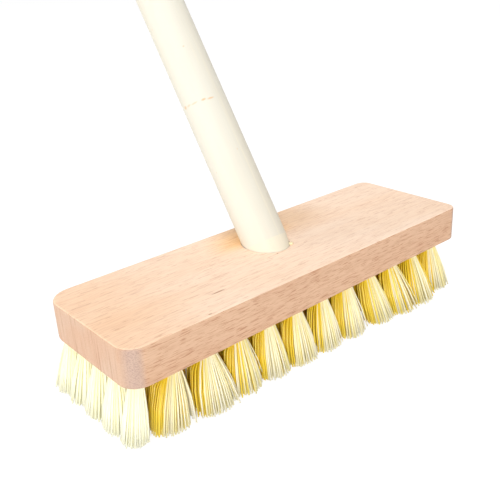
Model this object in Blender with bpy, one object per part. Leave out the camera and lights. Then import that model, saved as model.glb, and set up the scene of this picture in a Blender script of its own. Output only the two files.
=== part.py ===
"""Floor scrubbing brush: a drilled beech block, its fan-shaped bristle tufts and a slanted stick.

The brush stands on its bristle tips, with the block's length along X. The stick leans back towards
+Y. The origin is the middle of the whole brush's footprint, on the floor.
"""

import math
import random

import bmesh
import bpy
from mathutils import Vector

# The block
BLOCK_LENGTH = 0.225
BLOCK_WIDTH = 0.072
BLOCK_THICKNESS = 0.0193
NEAR_LEFT_CORNER_RADIUS = 0.0095
FAR_LEFT_CORNER_RADIUS = 0.012
RIGHT_CORNER_RADIUS = 0.0065
EDGE_BREAK = 0.0008
CORNER_SEGMENTS = 8
EDGE_SEGMENTS = 2
EDGE_PROFILE_SHARE = 0.5

# The stick. Heights along it are counted from where its axis crosses the block's top face.
STICK_DIAMETER = 0.024
STICK_LENGTH = 1.2
STICK_LEAN = math.radians(33)
STICK_SETBACK = 0.006
TAPER_START_HEIGHT = 0.001
TAPER_DROP = 0.0015
TIP_RECESS = 0.0005
TIP_CHAMFER = 0.001
TOP_ROUND_RADIUS = 0.006
TOP_ROUND_SEGMENTS = 6
STICK_SIDES = 40

# The tuft holes in the block's underside
TUFT_COLUMNS = 12
TUFT_ROWS = 5
LEFT_MARGIN = 0.0073
RIGHT_MARGIN = 0.0164
SIDE_MARGIN = 0.009
HOLE_DIAMETER = 0.0065
HOLE_DEPTH = 0.010
HOLE_SIDES = 8
SOCKET_WALL = 0.0015
WALL_TEST_STEPS = 6
MOST_SHIFT_SHARE = 0.28

# The bristles. Each tuft is one straight strand inside a ring of strands.
BRISTLE_LENGTH = 0.027
TUFT_GAP = 0.0027
RING_STRANDS = 7
STRAND_SIDES = 3
STRAND_TIP_RADIUS = 0.0015
STRAND_ROOT_SHARE = 0.225
STRAND_RING_SHARE = 0.67
END_SPLAY = 0.006
SIDE_SPLAY = 0.0085
TRIMMED_LENGTH = 0.0005
RAGGED_LENGTH = 0.001
STRAND_SEED = 11

# Fits
CLEARANCE = 0.0003
CUT_OVERRUN = 0.002
SHARP_ANGLE = math.radians(50)

# Each material's colour in linear light, and its roughness
BEECH_LOOK = ((0.82, 0.53, 0.34), 0.55)
STICK_LOOK = ((0.93, 0.85, 0.68), 0.5)
BRISTLE_LOOK = ((0.90, 0.78, 0.42), 0.45)


def clear_scene():
    for obj in list(bpy.data.objects):
        bpy.data.objects.remove(obj, do_unlink=True)


def make_material(name, look):
    """Plain surface with the photographed colour and gloss."""
    colour, roughness = look
    material = bpy.data.materials.new(name)
    material.use_nodes = True
    shader = material.node_tree.nodes["Principled BSDF"]
    shader.inputs["Base Color"].default_value = (*colour, 1)
    shader.inputs["Roughness"].default_value = roughness
    shader.inputs["Metallic"].default_value = 0
    return material


def make_object(name, bm, material, parent, place=(0, 0, 0)):
    """Object that takes over a bmesh, placed in its parent's space."""
    mesh = bpy.data.meshes.new(name)
    bm.to_mesh(mesh)
    bm.free()
    mesh.materials.append(material)
    mesh.shade_smooth()
    mesh.set_sharp_from_angle(angle=SHARP_ANGLE)
    obj = bpy.data.objects.new(name, mesh)
    obj.parent = parent
    obj.location = place
    bpy.context.scene.collection.objects.link(obj)
    return obj


def make_cutter(name, bm, material, parent, place=(0, 0, 0)):
    """Object that only cuts others."""
    cutter = make_object(name, bm, material, parent, place)
    cutter.hide_render = True
    cutter.display_type = "WIRE"
    return cutter


def cut(obj, cutter):
    modifier = obj.modifiers.new(cutter.name, "BOOLEAN")
    modifier.operation = "DIFFERENCE"
    modifier.solver = "EXACT"
    modifier.object = cutter


def weigh_normals(obj):
    """Lets the large flat faces set the shading round the cuts in them."""
    modifier = obj.modifiers.new("weighted_normals", "WEIGHTED_NORMAL")
    modifier.keep_sharp = True


def arc(centre_x, centre_y, radius, start, sweep, segments):
    """Points from the start angle through the sweep, both ends included."""
    points = []
    for step in range(segments + 1):
        angle = start + sweep * step / segments
        points.append((centre_x + radius * math.cos(angle), centre_y + radius * math.sin(angle)))
    return points


def turned(profile, sides):
    """Closed solid turned about Z from (radius, height) points, listed from the foot up."""
    bm = bmesh.new()
    verts = [bm.verts.new((radius, 0, height)) for radius, height in profile]
    edges = [bm.edges.new(pair) for pair in zip(verts, verts[1:])]
    bmesh.ops.spin(
        bm,
        geom=verts + edges,
        cent=(0, 0, 0),
        axis=(0, 0, 1),
        angle=2 * math.pi,
        steps=sides,
        use_merge=True,
    )
    bmesh.ops.holes_fill(bm, edges=bm.edges[:], sides=0)
    bmesh.ops.recalc_face_normals(bm, faces=bm.faces[:])
    return bm


def block_outline():
    """Plan of the block, anticlockwise from the near right corner. The left corners are rounder."""
    quarter = math.pi / 2
    points = []
    radii = (RIGHT_CORNER_RADIUS, RIGHT_CORNER_RADIUS, FAR_LEFT_CORNER_RADIUS, NEAR_LEFT_CORNER_RADIUS)
    for index, radius in enumerate(radii):
        towards_x = 1 if index < 2 else -1
        towards_y = 1 if index in (1, 2) else -1
        points += arc(
            towards_x * (BLOCK_LENGTH / 2 - radius),
            towards_y * (BLOCK_WIDTH / 2 - radius),
            radius,
            (index - 1) * quarter,
            quarter,
            CORNER_SEGMENTS,
        )
    return points


def block_blank():
    """The block before drilling, its top face at zero height."""
    bm = bmesh.new()
    top = bm.faces.new([bm.verts.new((x, y, 0)) for x, y in block_outline()])
    walls = bmesh.ops.extrude_face_region(bm, geom=[top])
    lowered = [item for item in walls["geom"] if isinstance(item, bmesh.types.BMVert)]
    bmesh.ops.translate(bm, verts=lowered, vec=(0, 0, -BLOCK_THICKNESS))
    bmesh.ops.recalc_face_normals(bm, faces=bm.faces[:])
    rims = [edge for edge in bm.edges if edge.verts[0].co.z == edge.verts[1].co.z]
    bmesh.ops.bevel(
        bm,
        geom=rims,
        offset=EDGE_BREAK,
        offset_type="OFFSET",
        segments=EDGE_SEGMENTS,
        profile=EDGE_PROFILE_SHARE,
        affect="EDGES",
    )
    return bm


def stick_foot_height():
    """Height of the stick's cut end: its lowest corner stays just inside the block's underside."""
    tip_radius = STICK_DIAMETER / 2 - TAPER_DROP
    deep = BLOCK_THICKNESS - TIP_RECESS - tip_radius * math.sin(STICK_LEAN)
    return -deep / math.cos(STICK_LEAN)


def taper_slope():
    """Radius lost for each metre down the taper."""
    return TAPER_DROP / (TAPER_START_HEIGHT - stick_foot_height())


def taper_radius(height):
    """Stick's radius at a height on its taper."""
    return STICK_DIAMETER / 2 - taper_slope() * (TAPER_START_HEIGHT - height)


def stick_profile():
    foot = stick_foot_height()
    tip_radius = taper_radius(foot)
    top = foot + STICK_LENGTH
    radius = STICK_DIAMETER / 2
    profile = [
        (tip_radius - TIP_CHAMFER, foot),
        (taper_radius(foot + TIP_CHAMFER), foot + TIP_CHAMFER),
        (radius, TAPER_START_HEIGHT),
    ]
    rounding = TOP_ROUND_RADIUS
    profile += arc(radius - rounding, top - rounding, rounding, 0, math.pi / 2, TOP_ROUND_SEGMENTS)
    return profile


def socket_profile():
    """Slanted bore that the stick fits, with a clearance all round, run out past both faces."""
    radius = STICK_DIAMETER / 2 + CLEARANCE
    rise = (CUT_OVERRUN + radius * math.sin(STICK_LEAN)) / math.cos(STICK_LEAN)
    drop = -rise - BLOCK_THICKNESS / math.cos(STICK_LEAN)
    return [
        (taper_radius(drop) + CLEARANCE, drop),
        (radius, TAPER_START_HEIGHT),
        (radius, rise),
    ]


def clear_of_socket(x, y):
    """Nearest x to the given one where a tuft hole keeps a sound wall to the stick's bore."""
    reach = abs(x)
    for step in range(WALL_TEST_STEPS + 1):
        height = -BLOCK_THICKNESS + HOLE_DEPTH * step / WALL_TEST_STEPS
        bore_y = STICK_SETBACK + height * math.tan(STICK_LEAN)
        bore_radius = taper_radius(height / math.cos(STICK_LEAN)) + CLEARANCE
        keep_off = SOCKET_WALL + HOLE_DIAMETER / 2
        along = (y - bore_y) / (bore_radius / math.cos(STICK_LEAN) + keep_off)
        across = math.sqrt(max(1 - along * along, 0))
        reach = max(reach, (bore_radius + keep_off) * across)
    return math.copysign(reach, x)


def column_pitch():
    return (BLOCK_LENGTH - LEFT_MARGIN - RIGHT_MARGIN) / (TUFT_COLUMNS - 1)


def row_pitch():
    return (BLOCK_WIDTH - 2 * SIDE_MARGIN) / (TUFT_ROWS - 1)


def tuft_places():
    """(row, column, x, y) of each tuft hole. One next to the stick's bore moves aside for it, and
    the bore takes the place of those that would have to move far."""
    places = []
    for row in range(TUFT_ROWS):
        for column in range(TUFT_COLUMNS):
            x = -BLOCK_LENGTH / 2 + LEFT_MARGIN + column * column_pitch()
            y = -BLOCK_WIDTH / 2 + SIDE_MARGIN + row * row_pitch()
            clear_x = clear_of_socket(x, y)
            if abs(clear_x - x) <= MOST_SHIFT_SHARE * column_pitch():
                places.append((row + 1, column + 1, clear_x, y))
    return places


def ring(bm, sides, radius, centre, turn=0):
    """Vertices of a level polygon."""
    verts = []
    for step in range(sides):
        angle = turn + 2 * math.pi * step / sides
        offset = Vector((radius * math.cos(angle), radius * math.sin(angle), 0))
        verts.append(bm.verts.new(Vector(centre) + offset))
    return verts


def bridge_rings(bm, first, second):
    """Walls between two rings of as many vertices."""
    for index in range(len(first)):
        following = (index + 1) % len(first)
        bm.faces.new((first[index], first[following], second[following], second[index]))


def loop_edges(bm, verts):
    return [bm.edges.get((verts[i - 1], verts[i])) for i in range(len(verts))]


def hole_cutters(places):
    """One prism for each tuft hole, from below the underside to the hole's end."""
    bm = bmesh.new()
    for _, _, x, y in places:
        mouth = ring(bm, HOLE_SIDES, HOLE_DIAMETER / 2, (x, y, -BLOCK_THICKNESS - CUT_OVERRUN))
        end = ring(bm, HOLE_SIDES, HOLE_DIAMETER / 2, (x, y, -BLOCK_THICKNESS + HOLE_DEPTH))
        bridge_rings(bm, mouth, end)
        bm.faces.new(mouth)
        bm.faces.new(end)
    bmesh.ops.recalc_face_normals(bm, faces=bm.faces[:])
    return bm


def fan_radius():
    """A tuft's radius at its tips, where it nearly meets its neighbours."""
    along = column_pitch() * (1 + 2 * END_SPLAY / BLOCK_LENGTH)
    across = row_pitch() * (1 + 2 * SIDE_SPLAY / BLOCK_WIDTH)
    return (min(along, across) - TUFT_GAP) / 2


def strand_directions(chance):
    """Unit offsets of the tuft's strands from its middle: one in the centre, the rest in a ring."""
    turn = chance.uniform(0, 2 * math.pi)
    directions = [Vector((0, 0, 0))]
    for index in range(RING_STRANDS):
        angle = turn + 2 * math.pi * index / RING_STRANDS
        directions.append(Vector((math.cos(angle), math.sin(angle), 0)))
    return directions


def strand_tip_height(chance):
    """Strands that reach the floor are trimmed flat on it. The rest end a little above it."""
    spare = chance.uniform(-TRIMMED_LENGTH, RAGGED_LENGTH)
    return max(spare, 0) - BRISTLE_LENGTH


def tuft(x, y, chance):
    """Folded root that fills its hole, with strands that fan out from it to the floor."""
    bm = bmesh.new()
    root_radius = HOLE_DIAMETER / 2 - CLEARANCE
    fold = ring(bm, HOLE_SIDES, root_radius, (0, 0, HOLE_DEPTH - CLEARANCE))
    mouth = ring(bm, HOLE_SIDES, root_radius, (0, 0, 0))
    bm.faces.new(fold)
    bridge_rings(bm, fold, mouth)
    edges = loop_edges(bm, mouth)
    splay = Vector((END_SPLAY * 2 * x / BLOCK_LENGTH, SIDE_SPLAY * 2 * y / BLOCK_WIDTH, 0))
    for direction in strand_directions(chance):
        height = Vector((0, 0, strand_tip_height(chance)))
        spread = direction * (fan_radius() - STRAND_TIP_RADIUS)
        start = direction * root_radius * STRAND_RING_SHARE
        turn = math.atan2(direction.y, direction.x)
        root = ring(bm, STRAND_SIDES, root_radius * STRAND_ROOT_SHARE, start, turn)
        tip = ring(bm, STRAND_SIDES, STRAND_TIP_RADIUS, splay + spread + height, turn)
        bridge_rings(bm, root, tip)
        bm.faces.new(tip)
        edges += loop_edges(bm, root)
    bmesh.ops.triangle_fill(bm, edges=edges, use_beauty=True)
    bmesh.ops.recalc_face_normals(bm, faces=bm.faces[:])
    return bm


def build_block(head, places):
    beech = make_material("beech", BEECH_LOOK)
    block = make_object("block", block_blank(), beech, head)
    holes = make_cutter("tuft_holes", hole_cutters(places), beech, head)
    socket = make_cutter("stick_socket", turned(socket_profile(), STICK_SIDES), beech, head)
    socket.location.y = STICK_SETBACK
    socket.rotation_euler.x = -STICK_LEAN
    cut(block, holes)
    cut(block, socket)
    weigh_normals(block)


def build_handle(head):
    pale_wood = make_material("pale_wood", STICK_LOOK)
    handle = make_object("handle", turned(stick_profile(), STICK_SIDES), pale_wood, head)
    handle.location.y = STICK_SETBACK
    handle.rotation_euler.x = -STICK_LEAN


def build_tufts(head, places):
    bristle = make_material("bristle", BRISTLE_LOOK)
    chance = random.Random(STRAND_SEED)
    for row, column, x, y in places:
        name = f"tuft_{row}_{column:02d}"
        make_object(name, tuft(x, y, chance), bristle, head, (x, y, -BLOCK_THICKNESS))


def centre_on_footprint(head):
    """Moves the head so that the whole brush stands on the floor, centred over the origin."""
    bpy.context.view_layer.update()
    corners = []
    for obj in head.children:
        if not obj.hide_render:
            corners += [obj.matrix_world @ vert.co for vert in obj.data.vertices]
    for axis in (0, 1):
        spread = [corner[axis] for corner in corners]
        head.location[axis] -= (min(spread) + max(spread)) / 2


def build_brush():
    clear_scene()
    head = bpy.data.objects.new("head", None)
    bpy.context.scene.collection.objects.link(head)
    head.location.z = BLOCK_THICKNESS + BRISTLE_LENGTH
    places = tuft_places()
    build_block(head, places)
    build_handle(head)
    build_tufts(head, places)
    centre_on_footprint(head)


build_brush()
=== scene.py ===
"""Looks of the floor scrubbing brush: its wood, its bristles, the studio and the camera.

Everything is in metres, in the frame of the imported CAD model, unless a comment says otherwise. The
block and the stick are the CAD solids with wood on them. Each CAD tuft is replaced by a fuller one
of fine filaments.
"""

import math
import random

import bpy
from mathutils import Euler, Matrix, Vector


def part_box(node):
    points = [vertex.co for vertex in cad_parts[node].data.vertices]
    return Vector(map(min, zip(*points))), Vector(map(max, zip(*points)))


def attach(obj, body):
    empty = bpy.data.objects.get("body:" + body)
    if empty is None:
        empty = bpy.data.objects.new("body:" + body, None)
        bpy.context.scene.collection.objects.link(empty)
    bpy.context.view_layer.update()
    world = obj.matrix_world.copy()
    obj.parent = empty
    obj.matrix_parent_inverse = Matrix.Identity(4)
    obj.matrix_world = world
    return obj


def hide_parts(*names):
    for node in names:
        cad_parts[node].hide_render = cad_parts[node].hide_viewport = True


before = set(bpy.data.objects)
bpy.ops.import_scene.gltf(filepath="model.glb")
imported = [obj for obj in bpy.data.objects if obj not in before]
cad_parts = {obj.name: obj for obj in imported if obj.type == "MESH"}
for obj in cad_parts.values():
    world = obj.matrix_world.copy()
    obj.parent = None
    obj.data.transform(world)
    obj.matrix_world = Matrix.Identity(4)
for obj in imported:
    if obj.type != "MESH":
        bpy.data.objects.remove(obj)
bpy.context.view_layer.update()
MM_PER_METRE = 1000

# The block and the stick, as the CAD model has them
BLOCK_LOW, BLOCK_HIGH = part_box("block")
BLOCK_CENTRE = (BLOCK_LOW + BLOCK_HIGH) / 2
BLOCK_HALF = (BLOCK_HIGH - BLOCK_LOW) / 2
NEAR_LEFT_CORNER_RADIUS = 0.0095
FAR_LEFT_CORNER_RADIUS = 0.012
RIGHT_CORNER_RADIUS = 0.0065
STICK_LEAN = math.radians(33)
STICK_RADIUS = 0.012
STICK_SETBACK = 0.006
STICK_FOOT = Vector((BLOCK_CENTRE.x, BLOCK_CENTRE.y + STICK_SETBACK, BLOCK_HIGH.z))
STICK_AXIS = Vector((0, math.sin(STICK_LEAN), math.cos(STICK_LEAN)))

# The tufts are named tuft_ROW_COLUMN. Rows count from the near long side, columns from the left end
TUFTS = sorted(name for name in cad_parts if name.startswith("tuft_"))
LAST_ROW = max(int(name.split("_")[1]) for name in TUFTS)
LAST_COLUMN = max(int(name.split("_")[2]) for name in TUFTS)

# How thick the slices at the two ends of a CAD tuft are, whose middles give its line
ROOT_SLICE = 0.0001
TIP_SLICE = 0.002

# The filaments of a tuft. The stations are shares of the way from the hole to the floor
FILAMENTS = 180
FILAMENT_SIDES = 6
FILAMENT_RADIUS = 0.00037
RADIUS_SPREAD = (0.85, 1.15)
FILAMENT_STATIONS = (0.12, 0.3, 0.6, 1.0)
ROOT_RADIUS = 0.0029
ROOT_DEPTH = 0.004
GOLDEN_ANGLE = math.pi * (3 - math.sqrt(5))
BRISTLE_SEED = 5

# How filaments end: how far they wander sideways, how high over the floor, and the rise toward the rim
TIP_WANDER = 0.00015
TIP_LIFT = 0.0001
TIP_LIFT_SPREAD = 0.00012
TIP_RISE = 0.0004

# The filaments past the outer share may stray from the fan, more often and further on the right
OUTER_SHARE = 0.8
STRAY_CHANCE = 0.08
STRAY_CHANCE_RIGHT = 0.22
STRAY_REACH = (1.05, 1.15)
STRAY_REACH_RIGHT = 0.15

# Half widths of the fans at the floor, along the block and across it
FAN_RADII = (0.0096, 0.0074)
INNER_FAN_RADII = (0.0108, 0.0082)
GAP_FAN_RADII = (0.0150, 0.0100)
LEFT_END_FAN_RADII = (0.0060, 0.0092)
NEAR_ROW_FANS = {
    "tuft_1_01": (0.0056, 0.0070),
    "tuft_1_02": (0.0106, 0.0080),
    "tuft_1_03": (0.0110, 0.0074),
}

# How early a fan opens: 1 is a straight one, and more opens nearer to the block. The near row's fans open
# earlier on the side that is left in the photograph, and the second tuft does it most
FLARE = 1.35
INNER_FLARE = 4.5
LEFT_BULGE = 2.6
SECOND_TUFT_BULGE = 1.8
LEFT_IN_PHOTO = (-0.756, 0.655)

# How far tufts stand from where the CAD has them, in millimetres along the block and across it
NEAR_ROW_MOUTH_SHIFT = (0.8, 0.0)
NEAR_ROW_SHIFTS = (
    (0.4, 3.8),
    (-1.5, 0.8),
    (1.5, -2.0),
    (1.4, 0.0),
    (0.7, 0.0),
    (-1.2, -0.8),
    (-2.4, -0.8),
    (-2.8, -1.0),
    (0.2, -2.2),
    (-2.0, -4.0),
    (-5.0, -4.0),
    (-5.1, 0.4),
)
LEFT_END_SHIFTS = ((0.0, 0.0), (0.0, -1.5), (0.0, -3.5), (0.0, -7.2))

# The tufts beside the places that the stick's socket leaves out lean into the free space
GAP_SHIFTS = {
    "tuft_2_06": (3.5, 0.0),
    "tuft_2_08": (-4.5, 0.0),
    "tuft_3_06": (2.0, 0.0),
    "tuft_3_08": (-3.0, 0.0),
}

# Share of yellow filaments, partly real yellow ones and partly painted shade. On the outer sides of the
# brush it grows to the left and inward, where the tufts are in shade
LEFT_END_YELLOW = 0.01
SECOND_COLUMN_YELLOW = 0.15
SECOND_COLUMN_RIM = 0.3
INNER_YELLOW = 0.95
OUTER_YELLOW = 0.26
YELLOW_TO_LEFT = 1.15
YELLOW_INWARD = 0.95
LEAST_YELLOW = 0.06

# Colours of the filaments in sRGB from 0 to 255: two at the root and two at the tip, between which they lie
BRISTLE_COLOURS = {
    "bristle_pale": (((253, 248, 216), (249, 234, 140)), ((253, 249, 228), (249, 238, 168))),
    # Yellow filaments, partly real yellow ones and partly painted shade
    "bristle_yellow": (((250, 222, 40), (240, 203, 4)), ((252, 230, 90), (248, 214, 36))),
    # Nearly white filaments of the left end, whose paleness is painted light
    "bristle_painted_light": (((255, 254, 226), (255, 252, 208)), ((255, 254, 234), (255, 253, 222))),
}
PALE, YELLOW, PAINTED_LIGHT = range(3)

# The colour changes between two shares of the height under the block, has streaks and is duller at the cut,
# partly as the cut ends are and partly as painted shade where the tips meet the floor
COLOUR_CHANGE_SHARES = (0.92, 0.1)
STREAK_NOISE = (900, 900, 120)
STREAK_LIMITS = (0.5, 0.8)
STREAK_STRENGTH = 0.3
STREAK_TINT = (255, 248, 215)
CUT_END_SHADE_HEIGHTS = (0.0005, 0.0001)
CUT_END_SHADE_STRENGTH = 0.4
CUT_END_SHADE_COLOUR = (200, 190, 110)
BRISTLE_ROUGHNESS = 0.28
BRISTLE_IOR = 1.6
TRANSLUCENT_SHARE = 0.12

# Noises of the beech: waves per metre along X, Y and Z, detail, roughness and distortion
BEECH_NOISES = {
    "cloud": ((14, 45, 60), 3.0, 0.5, 0.0),
    "layers": ((4, 260, 40), 3.0, 0.55, 0.2),
    "lines_top": ((85, 1150, 1150), 3.0, 0.6, 0.0),
    "flecks_top": ((150, 1500, 1500), 2.0, 0.55, 0.0),
    "lines_side": ((120, 900, 1150), 3.0, 0.65, 0.0),
    "flecks_side": ((130, 1700, 2300), 2.0, 0.6, 0.0),
    "streaks": ((400, 600, 35), 3.0, 0.6, 0.4),
    "pores": ((1500, 1500, 2000), 2.0, 0.5, 0.0),
    "fine": ((110, 3200, 3200), 2.0, 0.6, 0.0),
}
PATCH_LIMITS = (0.3, 0.7)
END_PATCH_LIMITS = (0.35, 0.65)
LAYER_LIMITS = (0.45, 0.75)

# Dark figure of the beech: the noise, between which of its values it shows, on which face and how strongly
BEECH_FIGURE = (
    ("lines_top", 0.45, 0.66, "top", 0.20),
    ("flecks_top", 0.57, 0.67, "top", 0.40),
    ("lines_side", 0.42, 0.68, "side", 0.26),
    ("flecks_side", 0.55, 0.64, "side", 0.70),
    ("streaks", 0.48, 0.70, "end", 0.58),
    ("pores", 0.40, 0.66, "end", 0.15),
    ("fine", 0.50, 0.80, "upright", 0.15),
)

# Colours of the beech in sRGB, and tints that its colour is multiplied by
# The sides and the ends are darker than the top partly as the wood is and partly as painted shade
BEECH_TOP = ((254, 227, 203), (252, 222, 195))
BEECH_SIDE = ((214, 177, 147), (209, 171, 141))
BEECH_END = ((208, 178, 154), (207, 171, 144))
BEECH_CORNER = ((194, 168, 153), (171, 148, 138))
BEECH_MARK = (176, 118, 84)
LAYER_TINT = (238, 212, 190)
FIGURE_TINT = (202, 168, 148)
# Painted shade along the top's edge
EDGE_PAINTED_SHADE_TINT = (238, 230, 222)
TURN_TINT = (243, 238, 236)
# Tints of painted shade on the top; the last one is the stick's painted shadow
LEFT_PAINTED_SHADE_TINT = (252, 242, 231)
FOOT_PAINTED_SHADE_TINT = (255, 236, 196)
STICK_PAINTED_SHADOW_TINT = (235, 226, 212)

# How much of each share shows. The edge's share is 0.25 at most
LAYER_STRENGTH = 0.20
EDGE_STRENGTH = 4.0
CORNER_STRENGTH = 0.8
MARK_STRENGTH = 0.75

# How the wood takes light. A roughness is its least value and what the finest noise adds
WOOD_GLOSS = 0.3
BEECH_ROUGHNESS = (0.50, 0.16)
STICK_ROUGHNESS = (0.42, 0.12)
BEECH_BUMP_STRENGTH = 0.25
BUMP_DISTANCE = 0.0002
FLECK_DEPTH = 0.5

# Between which values of the normal's parts the top, the ends and the turn of the corners begin
TOP_FACING = (0.3, 0.95)
END_FACING = (0.55, 0.95)
TURN_FACING = (0.10, 0.45)
CORNER_FACING = (0.0462, 0.4)

# How far inside the block's rim a face still belongs to a round corner
CORNER_DEPTH = 0.0012

# Painted shade that makes the top warmer and darker: toward the left end, close behind the stick's foot, and
# right of the stick as its painted shadow, whose place is in millimetres from the middle of the top
LEFT_SHADE = (-0.045, -0.10)
FOOT_SHADE_REACH = (0.034, 0.0125)
FOOT_SHADE_BACK = (0.001, 0.011)
RIGHT_SHADE_PLACE = (32, 26)
RIGHT_SHADE_SIZE = (0.034, 0.028, 0.010)
RIGHT_SHADE_SOFTNESS = 0.9

# Dark marks on the top: place in millimetres from its middle, half sizes and softness
BEECH_MARKS = (
    ((-53, -20), (0.0052, 0.0007, 0.001), 0.6),
    ((-68.6, -34), (0.0016, 0.0006, 0.001), 0.7),
    ((-4.8, -8.2), (0.0007, 0.0006, 0.001), 0.6),
)

# The stick's noises and colours, in the same forms as the beech's. The shoulder is where its foot narrows
STICK_NOISES = {
    "cloud": ((60, 60, 9), 3.0, 0.5, 0.0),
    "rings": ((330, 330, 6), 3.0, 0.6, 0.4),
    "fibres": ((2400, 2400, 70), 2.0, 0.6, 0.0),
}
STICK_WOOD = ((217, 213, 200), (215, 209, 193))
RING_COLOUR = (228, 220, 198)
FIBRE_COLOUR = (222, 212, 190)
KNOT_COLOUR = (214, 178, 132)
SHOULDER_COLOUR = (238, 226, 196)
RING_LIMITS = (0.5, 0.75)
RING_STRENGTH = 0.5
FIBRE_LIMITS = (0.55, 0.8)
FIBRE_STRENGTH = 0.35
SHOULDER_STRENGTH = 0.30
SHOULDER_HEIGHTS = (0.0012, 0.0008)

# The stick's broken knot line, then its specks: height up the axis in millimetres, angle round it in
# degrees, half sizes and strength
STICK_MARKS = (
    (82.0, 174, (0.0016, 0.0016, 0.0013), 0.75),
    (81.6, -170, (0.0022, 0.0020, 0.0008), 0.45),
    (81.1, -152, (0.0028, 0.0028, 0.0007), 0.50),
    (80.7, -126, (0.0018, 0.0018, 0.0008), 0.85),
    (80.1, -108, (0.0026, 0.0026, 0.0007), 0.75),
    (110.6, -119, (0.0007, 0.0007, 0.0006), 0.60),
    (127.4, 176, (0.0007, 0.0007, 0.0006), 0.45),
    (50.3, -97, (0.0006, 0.0006, 0.0008), 0.30),
    (43.6, -175, (0.0006, 0.0006, 0.0006), 0.25),
)
STICK_MARK_SOFTNESS = 0.7

# The bead of glue. Its place is in millimetres from the middle of the top, and its radii are half sizes
GLUE_PLACE = (8.2, -4.6, 0.35)
GLUE_RADII = (0.0013, 0.0011, 0.0009)
GLUE_UNEVENNESS = (0.9, 1.12)
GLUE_RINGS = 7
GLUE_SIDES = 12
GLUE_COLOURS = ((238, 228, 196), (228, 208, 156))
GLUE_NOISE = ((900, 900, 900), 2.0)
GLUE_ROUGHNESS = 0.35
GLUE_BUMP_STRENGTH = 0.3
GLUE_SEED = 3

# The studio: each lamp's name, direction from the block, distance, diameter and power in watts
LAMPS = (
    ("top", (-0.14, -0.10, 0.96), 3.0, 2.4, 38.5),
    ("front", (-0.60, -0.76, 0.20), 4.0, 1.7, 94.0),
    ("left", (-0.80, 0.55, 0.22), 3.0, 1.6, 30.0),
)

# The dome lights at its level, and more toward the horizon. The floor glows where it is seen, which fades it
# into the background and leaves the shadow
WHITE = (1.0, 1.0, 1.0, 1.0)
DOME_LEVEL = 0.45
DOME_RISE_AT_HORIZON = 0.22
DOME_FALL = 1.5
FLOOR_HALF = 4.0
FLOOR_DROP = 0.0004
FLOOR_COLOUR = (245, 245, 245)
FLOOR_SHADE = (0.22, 0.22, 0.22, 1.0)
FLOOR_GLOW = 0.86

# Light goes through many filaments before it leaves the bristles
LIGHT_BOUNCES = 24

# The camera, as it was fitted on the photograph: angles in degrees, lens and sensor in millimetres
CAMERA_PLACE = (-0.22187, -0.56073, 0.19182)
CAMERA_ANGLES = (66.4084, 2.9006, -40.9094)
CAMERA_LENS = 50.511
CAMERA_SENSOR = 36
CAMERA_CLIP = 0.01


# Small helpers for shader nodes


def new_tree(name):
    """Empty material: (material, node tree, output node)."""
    material = bpy.data.materials.new(name)
    material.use_nodes = True
    tree = material.node_tree
    tree.nodes.clear()
    return material, tree, tree.nodes.new("ShaderNodeOutputMaterial")


def add(tree, kind, settings=(), **inputs):
    """New node. Each input is a socket, which is linked, or a plain value."""
    node = tree.nodes.new("ShaderNode" + kind)
    for key, value in dict(settings).items():
        setattr(node, key, value)
    for key, value in inputs.items():
        socket = node.inputs[int(key[1:])] if key[1:].isdigit() else node.inputs[key.replace("_", " ")]
        if isinstance(value, bpy.types.NodeSocket):
            tree.links.new(value, socket)
        else:
            socket.default_value = value
    return node


def math_of(tree, operation, *values, clamp=False):
    """Result of a sum on numbers."""
    inputs = {f"i{index}": value for index, value in enumerate(values)}
    return add(tree, "Math", {"operation": operation, "use_clamp": clamp}, **inputs).outputs[0]


def product(tree, first, *others):
    """All the numbers multiplied together."""
    for value in others:
        first = math_of(tree, "MULTIPLY", first, value)
    return first


def largest(tree, first, *others):
    """Largest of the numbers."""
    for value in others:
        first = math_of(tree, "MAXIMUM", first, value)
    return first


def rest_of(tree, share):
    """1 less the share."""
    return math_of(tree, "SUBTRACT", 1.0, share, clamp=True)


def vector_of(tree, operation, *values):
    """Result of a sum on vectors: a number for a length or a dot product, or else a vector."""
    inputs = {f"i{index}": value for index, value in enumerate(values)}
    node = add(tree, "VectorMath", {"operation": operation}, **inputs)
    return node.outputs["Value" if operation in ("LENGTH", "DOT_PRODUCT") else "Vector"]


def scaled(tree, vector, factor):
    """Vector times a number."""
    return add(tree, "VectorMath", {"operation": "SCALE"}, i0=vector, Scale=factor).outputs[0]


def parts_of(tree, vector):
    """X, Y and Z of a vector."""
    return add(tree, "SeparateXYZ", i0=vector).outputs


def object_place(tree):
    """Place in the frame of the CAD model, where every object has its origin."""
    return add(tree, "TexCoord").outputs["Object"]


def true_normal_of(tree):
    """Normal of the mesh as it is."""
    return add(tree, "NewGeometry").outputs["Normal"]


def mix(tree, share, first, second, blend="MIX"):
    """Colour that goes from the first to the second."""
    settings = {"data_type": "RGBA", "blend_type": blend}
    return add(tree, "Mix", settings, i0=share, i6=first, i7=second).outputs[2]


def between(tree, share, pair):
    """Colour between two sRGB ones."""
    return mix(tree, share, colour(*pair[0]), colour(*pair[1]))


def tinted(tree, share, base, tint):
    """Base colour, multiplied by an sRGB tint where the share is 1."""
    return mix(tree, share, base, colour(*tint), "MULTIPLY")


def step(tree, value, low, high):
    """Smooth rise from 0 at the low value to 1 at the high one."""
    settings = {"interpolation_type": "SMOOTHSTEP"}
    return add(tree, "MapRange", settings, i0=value, i1=low, i2=high).outputs[0]


def noise(tree, place, waves, detail=2.0, roughness=0.5, distortion=0.0):
    """Noise between 0 and 1. The waves are per metre along X, Y and Z."""
    stretched = vector_of(tree, "MULTIPLY", place, waves)
    form = {"Detail": detail, "Roughness": roughness, "Distortion": distortion}
    return add(tree, "TexNoise", Vector=stretched, Scale=1.0, **form).outputs[0]


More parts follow.
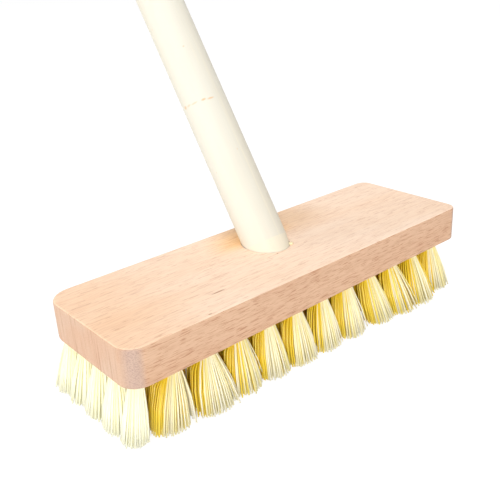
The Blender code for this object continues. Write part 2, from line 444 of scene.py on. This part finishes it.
def spot(tree, place, centre, size, softness):
    """1 inside an ellipsoid round the centre, 0 outside it."""
    apart = vector_of(tree, "DIVIDE", vector_of(tree, "SUBTRACT", place, tuple(centre)), size)
    return step(tree, vector_of(tree, "LENGTH", apart), 1.0, 1.0 - softness)


def colour(red, green, blue):
    """Linear colour of an sRGB one that is given from 0 to 255."""
    linear = []
    for value in (red, green, blue):
        share = value / 255
        linear.append(share / 12.92 if share <= 0.04045 else ((share + 0.055) / 1.055) ** 2.4)
    return (*linear, 1.0)


def seen_rays(tree):
    """1 for rays that show the floor or the world, straight or in gloss or glass, 0 for those that light."""
    path = add(tree, "LightPath").outputs
    return largest(tree, path["Is Camera Ray"], path["Is Glossy Ray"], path["Is Transmission Ray"])


# Small helpers for objects


def new_object(name, data):
    """Object of the scene that shows the data."""
    shown = bpy.data.objects.new(name, data)
    bpy.context.scene.collection.objects.link(shown)
    return shown


def new_mesh_object(name, points, faces, materials):
    """Object of the scene from points and faces. Faces of more than four corners stay flat."""
    mesh = bpy.data.meshes.new(name)
    mesh.from_pydata(points, [], faces)
    mesh.polygons.foreach_set("use_smooth", [len(face) <= 4 for face in faces])
    for material in materials:
        mesh.materials.append(material)
    return new_object(name, mesh)


def dress(node, material):
    """Puts a material on a CAD solid."""
    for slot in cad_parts[node].material_slots:
        slot.material = material


def block_place(along, across, up=0.0):
    """Point given in millimetres from the middle of the block's top face."""
    top = Vector((BLOCK_CENTRE.x, BLOCK_CENTRE.y, BLOCK_HIGH.z))
    return top + Vector((along, across, up)) / MM_PER_METRE


def shift(along, across):
    """Move given in millimetres along the block and across it."""
    return Vector((along, across, 0)) / MM_PER_METRE


# What both woods need


def finish_wood(tree, out, base, grain, roughness, normal):
    """Bare wood of a colour, as rough as its grain makes it."""
    least, more = roughness
    rough = math_of(tree, "MULTIPLY_ADD", grain, more, least)
    inputs = {"Base_Color": base, "Roughness": rough, "Normal": normal, "Specular_IOR_Level": WOOD_GLOSS}
    shader = add(tree, "BsdfPrincipled", **inputs)
    tree.links.new(shader.outputs[0], out.inputs[0])


def square_part(tree, part):
    """How long the other part of a unit vector is, square to a part of this length."""
    return math_of(tree, "SQRT", rest_of(tree, product(tree, part, part)))


def from_foot(tree, place):
    """Offset from the middle of the stick's foot."""
    return vector_of(tree, "SUBTRACT", place, tuple(STICK_FOOT))


def off_axis(tree, offset):
    """Part of an offset that is square to the stick's axis."""
    height = vector_of(tree, "DOT_PRODUCT", offset, tuple(STICK_AXIS))
    return vector_of(tree, "SUBTRACT", offset, scaled(tree, tuple(STICK_AXIS), height))


# The block's beech


def corner_radius(tree, side):
    """Radius of the block's corner in the quarter of this place."""
    far = math_of(tree, "GREATER_THAN", side[1], 0.0)
    wider = FAR_LEFT_CORNER_RADIUS - NEAR_LEFT_CORNER_RADIUS
    left = math_of(tree, "MULTIPLY_ADD", far, wider, NEAR_LEFT_CORNER_RADIUS)
    right = math_of(tree, "GREATER_THAN", side[0], 0.0)
    narrower = math_of(tree, "SUBTRACT", RIGHT_CORNER_RADIUS, left)
    return math_of(tree, "MULTIPLY_ADD", right, narrower, left)


def block_normal(tree, place):
    """Normal of the block with its corners truly round, whatever the facets."""
    true_normal = true_normal_of(tree)
    side = parts_of(tree, vector_of(tree, "SUBTRACT", place, tuple(BLOCK_CENTRE)))
    radius = corner_radius(tree, side)
    outward = []
    for axis in (0, 1):
        reach = math_of(tree, "SUBTRACT", math_of(tree, "ABSOLUTE", side[axis]), BLOCK_HALF[axis])
        past = largest(tree, math_of(tree, "ADD", reach, radius), 0.0)
        outward.append(product(tree, past, math_of(tree, "SIGN", side[axis])))
    level = add(tree, "CombineXYZ", i0=outward[0], i1=outward[1], i2=0.0).outputs[0]
    rim = math_of(tree, "SUBTRACT", vector_of(tree, "LENGTH", level), radius)
    outer = math_of(tree, "GREATER_THAN", rim, -CORNER_DEPTH)
    up = parts_of(tree, true_normal)[2]
    upward = add(tree, "CombineXYZ", i0=0.0, i1=0.0, i2=up).outputs[0]
    sideward = scaled(tree, vector_of(tree, "NORMALIZE", level), square_part(tree, up))
    rounded = vector_of(tree, "ADD", sideward, upward)
    return add(tree, "Mix", {"data_type": "VECTOR"}, i0=outer, i4=true_normal, i5=rounded).outputs[1]


def beech_faces(tree, facing):
    """How much the wood belongs to the top, the upright faces, the sides and the ends, from its normal."""
    top = step(tree, facing[2], *TOP_FACING)
    upright = rest_of(tree, top)
    endward = step(tree, math_of(tree, "ABSOLUTE", facing[0]), *END_FACING)
    side = product(tree, upright, rest_of(tree, endward))
    end = product(tree, upright, endward)
    return {"top": top, "upright": upright, "endward": endward, "side": side, "end": end}


def beech_ground(tree, noises, faces):
    """Colour of the beech on its faces, with the sides and ends darker than the top partly as the wood is
    and partly as painted shade, and upright growth layers along the block.
    """
    patches = step(tree, noises["cloud"], *PATCH_LIMITS)
    top = between(tree, patches, BEECH_TOP)
    side = between(tree, patches, BEECH_SIDE)
    end = between(tree, step(tree, noises["cloud"], *END_PATCH_LIMITS), BEECH_END)
    base = mix(tree, faces["top"], mix(tree, faces["endward"], side, end), top)
    layers = product(tree, step(tree, noises["layers"], *LAYER_LIMITS), LAYER_STRENGTH)
    return tinted(tree, layers, base, LAYER_TINT)


def beech_figure(tree, figure, faces, base):
    """Colour with short dark lines, flecks and pores on it."""
    dark = tinted(tree, 1.0, base, FIGURE_TINT)
    for name, _, _, face, strength in BEECH_FIGURE:
        base = mix(tree, product(tree, figure[name], faces[face], strength), base, dark)
    return base


def beech_edges(tree, facing, faces, pores, base):
    """Colour with a soft line of painted shade along the top's edge and greyer wood where the corners turn.
    """
    # Painted shade along the top's edge
    edge = product(tree, faces["top"], faces["upright"], EDGE_STRENGTH)
    base = tinted(tree, edge, base, EDGE_PAINTED_SHADE_TINT)
    along = math_of(tree, "ABSOLUTE", facing[0])
    across = math_of(tree, "ABSOLUTE", facing[1])
    turned = step(tree, product(tree, along, across), *TURN_FACING)
    base = tinted(tree, product(tree, turned, faces["upright"]), base, TURN_TINT)
    corner = step(tree, product(tree, along, across, across), *CORNER_FACING)
    corner = product(tree, corner, faces["upright"], CORNER_STRENGTH)
    return mix(tree, corner, base, between(tree, pores, BEECH_CORNER))


def foot_shade(tree, place):
    """1 where painted shade falls on the wood close behind the stick's foot, 0 away from it."""
    offset = from_foot(tree, place)
    close = step(tree, vector_of(tree, "LENGTH", off_axis(tree, offset)), *FOOT_SHADE_REACH)
    behind = step(tree, parts_of(tree, offset)[1], *FOOT_SHADE_BACK)
    return product(tree, close, behind)


def beech_painted_shades(tree, place, faces, base):
    """Colour with painted shade toward the left end and close behind the stick's foot, and the stick's
    painted shadow right of it.
    """
    # Painted shade toward the left end of the top
    leftward = step(tree, parts_of(tree, place)[0], *LEFT_SHADE)
    base = tinted(tree, product(tree, leftward, faces["top"]), base, LEFT_PAINTED_SHADE_TINT)
    # Painted shade close behind the stick's foot
    base = tinted(tree, product(tree, foot_shade(tree, place), faces["top"]), base, FOOT_PAINTED_SHADE_TINT)
    # The stick's painted shadow on the wood right of it
    right = spot(tree, place, block_place(*RIGHT_SHADE_PLACE), RIGHT_SHADE_SIZE, RIGHT_SHADE_SOFTNESS)
    return tinted(tree, right, base, STICK_PAINTED_SHADOW_TINT)


def beech_marks(tree, place, base):
    """Colour with the few dark marks of the top."""
    marks = [spot(tree, place, block_place(*at), size, softness) for at, size, softness in BEECH_MARKS]
    return mix(tree, product(tree, largest(tree, *marks), MARK_STRENGTH), base, colour(*BEECH_MARK))


def beech_material():
    """Planed beech, with its figure along the block and a redder end grain."""
    material, tree, out = new_tree("beech_wood")
    place = object_place(tree)
    rounded = block_normal(tree, place)
    facing = parts_of(tree, rounded)
    faces = beech_faces(tree, facing)
    noises = {name: noise(tree, place, *form) for name, form in BEECH_NOISES.items()}
    figure = {name: step(tree, noises[name], low, high) for name, low, high, _, _ in BEECH_FIGURE}

    base = beech_ground(tree, noises, faces)
    base = beech_figure(tree, figure, faces, base)
    base = beech_edges(tree, facing, faces, figure["pores"], base)
    base = beech_painted_shades(tree, place, faces, base)
    base = beech_marks(tree, place, base)

    relief = math_of(tree, "MULTIPLY_ADD", figure["flecks_side"], -FLECK_DEPTH, noises["fine"])
    bump = {"Strength": BEECH_BUMP_STRENGTH, "Distance": BUMP_DISTANCE}
    normal = add(tree, "Bump", Height=relief, Normal=rounded, **bump).outputs[0]
    finish_wood(tree, out, base, noises["fine"], BEECH_ROUGHNESS, normal)
    return material


# The stick's wood


def stick_normal(tree, place):
    """Normal of the stick as a true cylinder, whatever the facets."""
    along = vector_of(tree, "DOT_PRODUCT", true_normal_of(tree), tuple(STICK_AXIS))
    outward = vector_of(tree, "NORMALIZE", off_axis(tree, from_foot(tree, place)))
    around = scaled(tree, outward, square_part(tree, along))
    return vector_of(tree, "ADD", around, scaled(tree, tuple(STICK_AXIS), along))


def stick_marks(tree, straight):
    """1 on the knot line and the specks, 0 beside them. The place is the upright stick's."""
    marks = []
    for height, angle, size, strength in STICK_MARKS:
        turn = math.radians(angle)
        centre = (STICK_RADIUS * math.cos(turn), STICK_RADIUS * math.sin(turn), height / MM_PER_METRE)
        marks.append(product(tree, spot(tree, straight, centre, size, STICK_MARK_SOFTNESS), strength))
    return largest(tree, *marks)


def pale_wood_material():
    """Sanded softwood stick: faint grain along it, a thin broken knot line and a few specks."""
    material, tree, out = new_tree("stick_wood")
    place = object_place(tree)
    offset = from_foot(tree, place)
    straight = add(tree, "VectorRotate", {"rotation_type": "X_AXIS"}, i0=offset, Angle=STICK_LEAN).outputs[0]
    noises = {name: noise(tree, straight, *form) for name, form in STICK_NOISES.items()}

    base = between(tree, step(tree, noises["cloud"], *PATCH_LIMITS), STICK_WOOD)
    rings = product(tree, step(tree, noises["rings"], *RING_LIMITS), RING_STRENGTH)
    base = mix(tree, rings, base, colour(*RING_COLOUR))
    fibres = product(tree, step(tree, noises["fibres"], *FIBRE_LIMITS), FIBRE_STRENGTH)
    base = mix(tree, fibres, base, colour(*FIBRE_COLOUR))
    base = mix(tree, stick_marks(tree, straight), base, colour(*KNOT_COLOUR))
    shoulder = product(tree, step(tree, parts_of(tree, straight)[2], *SHOULDER_HEIGHTS), SHOULDER_STRENGTH)
    base = mix(tree, shoulder, base, colour(*SHOULDER_COLOUR))

    finish_wood(tree, out, base, noises["fibres"], STICK_ROUGHNESS, stick_normal(tree, place))
    return material


# The bristles


def bristle_material(name, roots, tips):
    """Stiff filament that lets some light through, in colours between two at its root and two at its tip."""
    material, tree, out = new_tree(name)
    place = object_place(tree)
    height = parts_of(tree, place)[2]
    tone = add(tree, "NewGeometry").outputs["Random Per Island"]
    toward_tip = step(tree, height, *(share * BLOCK_LOW.z for share in COLOUR_CHANGE_SHARES))
    base = mix(tree, toward_tip, between(tree, tone, roots), between(tree, tone, tips))
    streaks = step(tree, noise(tree, place, STREAK_NOISE), *STREAK_LIMITS)
    base = tinted(tree, product(tree, streaks, STREAK_STRENGTH), base, STREAK_TINT)
    # Darker near the floor: the cut ends, and painted shade where the tips meet the floor
    cut_end_shade = product(tree, step(tree, height, *CUT_END_SHADE_HEIGHTS), CUT_END_SHADE_STRENGTH)
    base = mix(tree, cut_end_shade, base, colour(*CUT_END_SHADE_COLOUR))
    shader = add(tree, "BsdfPrincipled", Base_Color=base, Roughness=BRISTLE_ROUGHNESS, IOR=BRISTLE_IOR)
    through = add(tree, "BsdfTranslucent", Color=base)
    both = add(tree, "MixShader", i0=TRANSLUCENT_SHARE, i1=shader.outputs[0], i2=through.outputs[0])
    tree.links.new(both.outputs[0], out.inputs[0])
    return material


def mean(points):
    """Middle of the points."""
    return sum(points, Vector((0, 0, 0))) / len(points)


def tuft_line(node):
    """(mouth, tip): the middles of a CAD tuft where it leaves its hole and at the floor."""
    low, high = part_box(node)
    points = [vert.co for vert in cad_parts[node].data.vertices]
    mouth = mean([point for point in points if point.z > high.z - ROOT_SLICE])
    tip = mean([point for point in points if point.z < low.z + TIP_SLICE])
    mouth.z = BLOCK_LOW.z
    tip.z = 0.0
    return mouth, tip


def tuft_ends(node, row, column):
    """(mouth, tip) of a tuft where the photograph shows them."""
    mouth, tip = tuft_line(node)
    if row == 1:
        mouth = mouth + shift(*NEAR_ROW_MOUTH_SHIFT)
        tip = tip + shift(*NEAR_ROW_SHIFTS[column - 1])
    elif column == 1:
        tip = tip + shift(*LEFT_END_SHIFTS[row - 2])
    if node in GAP_SHIFTS:
        tip = tip + shift(*GAP_SHIFTS[node])
    return mouth, tip


def tuft_fan(node, row, column):
    """(half widths of a tuft's fan, how early it opens)."""
    if node in NEAR_ROW_FANS:
        return NEAR_ROW_FANS[node], FLARE
    if column == 1:
        return LEFT_END_FAN_RADII, FLARE
    if node in GAP_SHIFTS:
        return GAP_FAN_RADII, INNER_FLARE
    if 1 < row < LAST_ROW and column < LAST_COLUMN:
        return INNER_FAN_RADII, INNER_FLARE
    return FAN_RADII, FLARE


def left_bulge(row, column, direction):
    """How much earlier a filament at the rim leaves the tuft's line, if it is on the photograph's left."""
    if row > 1 or column == 1:
        return 0.0
    leftward = max(0.0, LEFT_IN_PHOTO[0] * direction.x + LEFT_IN_PHOTO[1] * direction.y)
    return LEFT_BULGE * leftward * (SECOND_TUFT_BULGE if column == 2 else 1.0)


def filament_end(tip, fan, direction, share, chance):
    """Where a filament ends. The share is how far out it stands in the fan."""
    wander = Vector((chance.gauss(0, TIP_WANDER), chance.gauss(0, TIP_WANDER), 0))
    rightward = max(0.0, direction.x)
    stray = 1.0
    if share > OUTER_SHARE and chance.random() < STRAY_CHANCE + STRAY_CHANCE_RIGHT * rightward:
        stray = chance.uniform(STRAY_REACH[0], STRAY_REACH[1] + STRAY_REACH_RIGHT * rightward)
    spread = Vector((direction.x * fan[0], direction.y * fan[1], 0))
    end = tip + spread * share * stray + wander
    end.z = max(0.0, chance.gauss(TIP_LIFT, TIP_LIFT_SPREAD)) + TIP_RISE * share * share
    return end


def filament_centres(mouth, tip, root, end, opening):
    """Middles of a filament from inside its hole to its end, along the tuft's line and away from it."""
    centres = [root + Vector((0, 0, ROOT_DEPTH)), root]
    for part in FILAMENT_STATIONS:
        flare = 1 - (1 - part) ** opening
        centre = mouth.lerp(tip, part) + (root - mouth) + ((end - tip) - (root - mouth)) * flare
        centre.z = root.lerp(end, part).z
        centres.append(centre)
    return centres


def yellow_share(row, column, offset):
    """How likely a filament is a yellow one. The sheltered side of each tuft and the inner tufts are
    yellower as painted shade.
    """
    if column == 1:
        return LEFT_END_YELLOW
    if column == 2 and row > 1 and offset.x < SECOND_COLUMN_RIM and offset.y > -SECOND_COLUMN_RIM:
        return SECOND_COLUMN_YELLOW
    if row in (1, LAST_ROW) or column == LAST_COLUMN:
        inward = 1 if row <= LAST_ROW // 2 else -1
        sheltered = OUTER_YELLOW - YELLOW_TO_LEFT * offset.x + YELLOW_INWARD * offset.y * inward
        return min(max(sheltered, LEAST_YELLOW), 1.0)
    return INNER_YELLOW


def filament_look(row, column, offset, chance):
    """Number of the filament's material."""
    if chance.random() < yellow_share(row, column, offset):
        return YELLOW
    # The left end's nearly white filaments are painted light
    return PAINTED_LIGHT if column == 1 else PALE


def add_filament(shape, centres, radius, turn, look):
    """Adds one closed tube through the centres to a shape of points, faces and looks."""
    points, faces, looks = shape
    start = len(points)
    last = start + (len(centres) - 1) * FILAMENT_SIDES
    for centre in centres:
        for side in range(FILAMENT_SIDES):
            angle = turn + 2 * math.pi * side / FILAMENT_SIDES
            along = radius * math.cos(angle)
            across = radius * math.sin(angle)
            points.append((centre.x + along, centre.y + across, centre.z))
    for ring in range(start, last, FILAMENT_SIDES):
        for side in range(FILAMENT_SIDES):
            first = ring + side
            following = ring + (side + 1) % FILAMENT_SIDES
            faces.append((first, first + FILAMENT_SIDES, following + FILAMENT_SIDES, following))
    faces.append(tuple(range(start, start + FILAMENT_SIDES)))
    faces.append(tuple(reversed(range(last, last + FILAMENT_SIDES))))
    looks += [look] * (last - start + 2)


def tuft_shape(node, chance):
    """(points, faces, looks) of a tuft's filaments, which stand in a sunflower's pattern."""
    row, column = (int(part) for part in node.split("_")[1:])
    mouth, tip = tuft_ends(node, row, column)
    fan, opening = tuft_fan(node, row, column)
    shape = ([], [], [])
    turn = chance.uniform(0, 2 * math.pi)
    for index in range(FILAMENTS):
        share = math.sqrt((index + 0.5) / FILAMENTS)
        angle = turn + index * GOLDEN_ANGLE
        direction = Vector((math.cos(angle), math.sin(angle), 0))
        root = mouth + direction * ROOT_RADIUS * share
        end = filament_end(tip, fan, direction, share, chance)
        bulge = left_bulge(row, column, direction) * share
        centres = filament_centres(mouth, tip, root, end, opening + bulge)
        radius = FILAMENT_RADIUS * chance.uniform(*RADIUS_SPREAD)
        look = filament_look(row, column, direction * share, chance)
        add_filament(shape, centres, radius, chance.uniform(0, math.pi), look)
    return shape


def build_tuft(node, materials, chance):
    """Replaces a CAD tuft by one of fine filaments."""
    points, faces, looks = tuft_shape(node, chance)
    piece = new_mesh_object(node.replace("tuft", "bristles"), points, faces, materials)
    piece.data.polygons.foreach_set("material_index", looks)
    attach(piece, "root")
    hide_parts(node)


def build_bristles():
    """All the tufts, in the three colours of filament."""
    materials = [bristle_material(name, roots, tips) for name, (roots, tips) in BRISTLE_COLOURS.items()]
    chance = random.Random(BRISTLE_SEED)
    for node in TUFTS:
        build_tuft(node, materials, chance)


# The glue at the stick's foot


def glue_material():
    """Dried glue, pale and slightly uneven."""
    material, tree, out = new_tree("dried_glue")
    cloud = noise(tree, object_place(tree), *GLUE_NOISE)
    base = between(tree, cloud, GLUE_COLOURS)
    bump = add(tree, "Bump", Strength=GLUE_BUMP_STRENGTH, Distance=BUMP_DISTANCE, Height=cloud).outputs[0]
    shader = add(tree, "BsdfPrincipled", Base_Color=base, Roughness=GLUE_ROUGHNESS, Normal=bump)
    tree.links.new(shader.outputs[0], out.inputs[0])
    return material


def bead_shape():
    """(points, faces) of an uneven bead round its middle, from its lowest point to its highest."""
    chance = random.Random(GLUE_SEED)
    wide, deep, high = GLUE_RADII
    points = [(0, 0, -high)]
    for ring in range(1, GLUE_RINGS):
        lift = -math.cos(math.pi * ring / GLUE_RINGS)
        girth = math.sin(math.pi * ring / GLUE_RINGS)
        for side in range(GLUE_SIDES):
            turn = 2 * math.pi * side / GLUE_SIDES
            out = chance.uniform(*GLUE_UNEVENNESS) * girth
            points.append((wide * out * math.cos(turn), deep * out * math.sin(turn), high * lift))
    points.append((0, 0, high))
    last = len(points) - 1
    top_ring = last - GLUE_SIDES
    faces = []
    for side in range(GLUE_SIDES):
        following = (side + 1) % GLUE_SIDES
        faces.append((0, 1 + following, 1 + side))
        for ring in range(1, top_ring, GLUE_SIDES):
            upper = ring + GLUE_SIDES
            faces.append((ring + side, ring + following, upper + following, upper + side))
        faces.append((top_ring + side, top_ring + following, last))
    return points, faces


def build_glue():
    """One bead of dried glue that has run out of the socket, on the near side to the right."""
    points, faces = bead_shape()
    centre = block_place(*GLUE_PLACE)
    placed = [tuple(centre + Vector(point)) for point in points]
    piece = new_mesh_object("glue_bead", placed, faces, [glue_material()])
    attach(piece, "root")


# The studio


def floor_material():
    """White that fades into the background where it is seen and keeps a soft shadow."""
    material, tree, out = new_tree("studio_white")
    plain = add(tree, "BsdfDiffuse", Color=colour(*FLOOR_COLOUR))
    shade = add(tree, "BsdfDiffuse", Color=FLOOR_SHADE)
    glow = add(tree, "Emission", Color=WHITE, Strength=FLOOR_GLOW)
    lit = add(tree, "AddShader", i0=shade.outputs[0], i1=glow.outputs[0])
    chosen = add(tree, "MixShader", i0=seen_rays(tree), i1=plain.outputs[0], i2=lit.outputs[0])
    tree.links.new(chosen.outputs[0], out.inputs[0])
    return material


def build_floor():
    """Plain square floor, just below the lowest bristles."""
    corners = [(FLOOR_HALF * x, FLOOR_HALF * y, 0) for x, y in ((-1, -1), (1, -1), (1, 1), (-1, 1))]
    floor = new_mesh_object("studio_floor", corners, [(0, 1, 2, 3)], [floor_material()])
    floor.location.z = -FLOOR_DROP


def build_world():
    """White dome that is seen at full strength and lights at a lower one, strongest at the horizon."""
    world = bpy.data.worlds.new("studio")
    world.use_nodes = True
    tree = world.node_tree
    tree.nodes.clear()
    height = parts_of(tree, add(tree, "TexCoord").outputs["Generated"])[2]
    low = math_of(tree, "POWER", rest_of(tree, height), DOME_FALL)
    dome = math_of(tree, "MULTIPLY_ADD", low, DOME_RISE_AT_HORIZON, DOME_LEVEL)
    back = add(tree, "Background", Color=WHITE, Strength=largest(tree, dome, seen_rays(tree)))
    out = tree.nodes.new("ShaderNodeOutputWorld")
    tree.links.new(back.outputs[0], out.inputs[0])
    bpy.context.scene.world = world


def add_lamp(name, direction, distance, diameter, power):
    """Round soft box that shines at the block from a direction."""
    lamp = bpy.data.lights.new(name, "AREA")
    lamp.shape = "DISK"
    lamp.size = diameter
    lamp.energy = power
    box = new_object(name, lamp)
    box.location = BLOCK_CENTRE + Vector(direction).normalized() * distance
    box.rotation_euler = (-Vector(direction)).to_track_quat("-Z", "Y").to_euler()


def build_camera():
    """Camera that sees the brush as the photograph does."""
    camera = bpy.data.cameras.new("camera")
    camera.sensor_width = CAMERA_SENSOR
    camera.lens = CAMERA_LENS
    camera.clip_start = CAMERA_CLIP
    holder = new_object("camera", camera)
    holder.location = CAMERA_PLACE
    holder.rotation_euler = Euler([math.radians(angle) for angle in CAMERA_ANGLES])
    bpy.context.scene.camera = holder


build_camera()
build_world()
for lamp_values in LAMPS:
    add_lamp(*lamp_values)
build_floor()
dress("block", beech_material())
dress("handle", pale_wood_material())
build_bristles()
build_glue()
bpy.context.scene.view_settings.view_transform = "Standard"
bpy.context.scene.cycles.max_bounces = LIGHT_BOUNCES
bpy.context.scene.cycles.diffuse_bounces = LIGHT_BOUNCES
bpy.context.scene.cycles.transmission_bounces = LIGHT_BOUNCES
